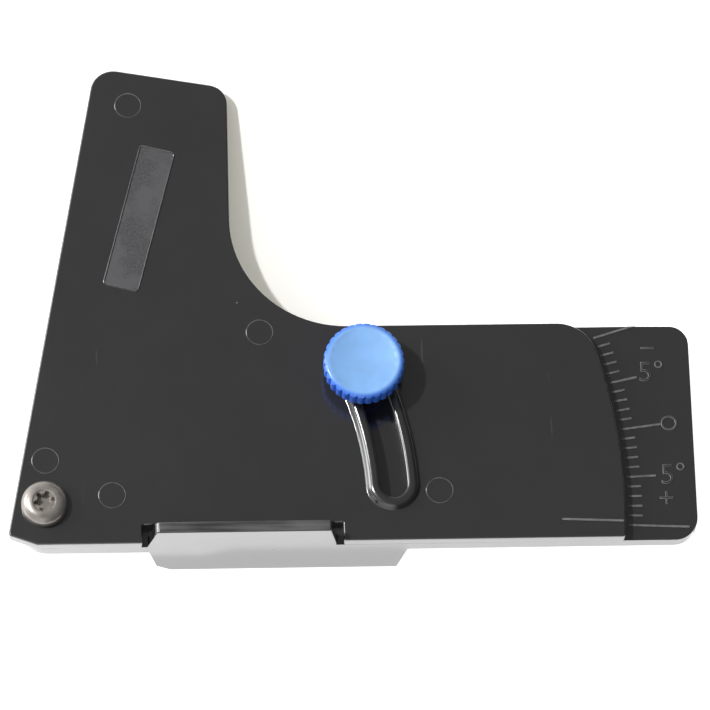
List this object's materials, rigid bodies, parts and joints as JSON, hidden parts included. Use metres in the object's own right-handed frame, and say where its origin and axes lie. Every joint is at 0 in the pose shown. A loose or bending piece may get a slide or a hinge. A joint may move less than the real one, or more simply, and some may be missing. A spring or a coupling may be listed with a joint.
{
  "type": "wheel camber gauge",
  "caption": "L-shaped plate swinging on a footed base plate with a degree scale, clamped through an arc slot by a fluted thumb knob.",
  "frame": {"origin": "on the sole, at the middle of the foot, level with the front face of the base plate", "axes": "+X along the sole towards the scale, +Y from the sole up the arm, +Z out of the face with the scale and the knob"},
  "size_m": [0.1411, 0.1054, 0.0249],
  "materials": {
    "base_plastic": "gloss",
    "swing_plastic": "gloss",
    "screw_steel": "plated",
    "hardware_steel": "plated",
    "lock_nylon": "matte",
    "knob_plastic": "satin",
    "insert_brass": "turned"
  },
  "bodies": {
    "base": {"base_plate": "base_plastic", "pivot_screw": "screw_steel", "pivot_washer": "hardware_steel", "pivot_nut": "hardware_steel", "lock_ring": "lock_nylon", "clamp_screw": "hardware_steel"},
    "swing": {"swing_plate": "swing_plastic"},
    "washer": {"clamp_washer": "hardware_steel"},
    "knob": {"knob": "knob_plastic", "knob_insert": "insert_brass"}
  },
  "joints": [
    {"name": "swing", "type": "hinge", "parent": "base", "child": "swing", "pos_m": [-0.0477, 0.0085, 0], "axis": [0, 0, 1], "range_deg": [0, 20]},
    {"name": "knob_lift", "type": "slide", "parent": "base", "child": "washer", "axis": [0, 0, 1], "range_m": [0, 0.0008]},
    {"name": "knob_turn", "type": "hinge", "parent": "washer", "child": "knob", "pos_m": [0.01802, 0.0364, 0.0048], "axis": [0, 0, 1], "range_deg": [0, 360]}
  ],
  "couplings": [
    {"joint": "knob_turn", "follows": "knob_lift", "rad_per_m": 7854}
  ]
}
